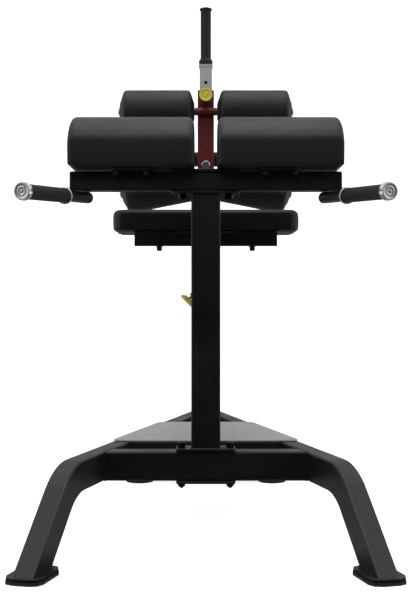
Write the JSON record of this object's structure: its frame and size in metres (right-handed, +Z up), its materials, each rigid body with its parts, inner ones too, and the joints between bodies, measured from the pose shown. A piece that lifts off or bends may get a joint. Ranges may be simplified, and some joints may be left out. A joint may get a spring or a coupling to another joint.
{
  "type": "glute ham developer",
  "caption": "Floor-standing glute ham bench with crowned thigh pads, a knee pad, and an ankle roller unit that slides on a mast and a boom.",
  "frame": {"origin": "on the floor, under the middle of the machine's whole box", "axes": "+X to the right seen from the thigh pad end, +Y from the thigh pads towards the ankle rollers, +Z up"},
  "size_m": [0.8992, 1.4622, 1.5196],
  "materials": {
    "black_coat": "satin",
    "red_coat": "satin",
    "silver_coat": "satin",
    "platform_coat": "matte",
    "chrome": "polished",
    "zinc": "satin",
    "black_steel": "satin",
    "vinyl": "satin",
    "plywood": "matte",
    "rubber": "matte",
    "foam": "matte",
    "black_plastic": "matte",
    "yellow_plastic": "satin"
  },
  "bodies": {
    "frame": {"rail_left": "black_coat", "rail_right": "black_coat", "foot_rubber_left": "rubber", "foot_rubber_right": "rubber", "front_crossmember": "black_coat", "platform_crossmember": "black_coat", "platform_bearer": "black_coat", "platform_plate": "platform_coat", "rear_stabiliser": "black_coat", "rear_foot_left": "rubber", "rear_foot_right": "rubber", "rail_end_plate": "black_coat", "rear_upright": "black_coat", "rear_upright_plug": "black_plastic", "front_upright": "black_coat", "base_clamp_plate": "black_coat", "base_bolt_left": "zinc", "base_bolt_right": "zinc", "cross_beam": "black_coat", "top_bolt_left": "black_steel", "top_bolt_right": "black_steel", "beam_plug_left": "black_plastic", "beam_plug_right": "black_plastic", "thigh_pad_left": "vinyl", "thigh_pad_right": "vinyl", "thigh_pad_board_left": "plywood", "thigh_pad_board_right": "plywood", "handle_bar_left": "black_coat", "handle_bar_right": "black_coat", "handle_grip_left": "rubber", "handle_grip_right": "rubber", "handle_collar_left": "chrome", "handle_collar_right": "chrome", "handle_end_cap_left": "chrome", "handle_end_cap_right": "chrome", "slide_boom": "black_coat", "knee_pad_bracket": "black_coat", "knee_pad_board": "plywood", "knee_pad": "vinyl"},
    "carriage": {"carriage_sleeve": "black_coat", "carriage_liner": "black_plastic", "carriage_pin_barrel": "black_steel", "mast_post": "silver_coat", "mast_stem": "black_coat", "mast_grip": "rubber"},
    "carriage_pin": {"carriage_pin": "zinc", "carriage_knob": "yellow_plastic"},
    "ankle_unit": {"ankle_sleeve": "red_coat", "ankle_liner": "black_plastic", "sleeve_screw": "zinc", "foot_bar": "rubber", "upper_axle": "chrome", "lower_axle": "chrome", "height_pin_barrel": "black_steel"},
    "height_pin": {"height_pin": "zinc", "height_knob": "yellow_plastic"},
    "roller_upper_left_body": {"roller_upper_left": "foam"},
    "roller_upper_right_body": {"roller_upper_right": "foam"},
    "roller_lower_left_body": {"roller_lower_left": "foam"},
    "roller_lower_right_body": {"roller_lower_right": "foam"}
  },
  "joints": [
    {"name": "carriage_slide", "type": "slide", "parent": "frame", "child": "carriage", "axis": [0, 1, 0], "range_m": [0, 0.2]},
    {"name": "carriage_pin_pull", "type": "slide", "parent": "carriage", "child": "carriage_pin", "axis": [-0.7071, 0, -0.7071], "range_m": [0, 0.01], "stiffness_N_per_m": 1500, "springref_m": -0.004},
    {"name": "ankle_height", "type": "slide", "parent": "carriage", "child": "ankle_unit", "axis": [0, 0, 1], "range_m": [-0.1, 0.05]},
    {"name": "height_pin_pull", "type": "slide", "parent": "ankle_unit", "child": "height_pin", "axis": [0, -1, 0], "range_m": [0, 0.01], "stiffness_N_per_m": 1500, "springref_m": -0.004},
    {"name": "roller_upper_left_spin", "type": "hinge", "parent": "ankle_unit", "child": "roller_upper_left_body", "pos_m": [0, 0.25276, 1.191], "axis": [1, 0, 0], "continuous": true},
    {"name": "roller_upper_right_spin", "type": "hinge", "parent": "ankle_unit", "child": "roller_upper_right_body", "pos_m": [0, 0.25276, 1.191], "axis": [1, 0, 0], "continuous": true},
    {"name": "roller_lower_left_spin", "type": "hinge", "parent": "ankle_unit", "child": "roller_lower_left_body", "pos_m": [0, 0.25276, 0.9908], "axis": [-0.981, 0, -0.1942], "continuous": true},
    {"name": "roller_lower_right_spin", "type": "hinge", "parent": "ankle_unit", "child": "roller_lower_right_body", "pos_m": [0, 0.25276, 0.9908], "axis": [0.981, 0, -0.1942], "continuous": true}
  ]
}
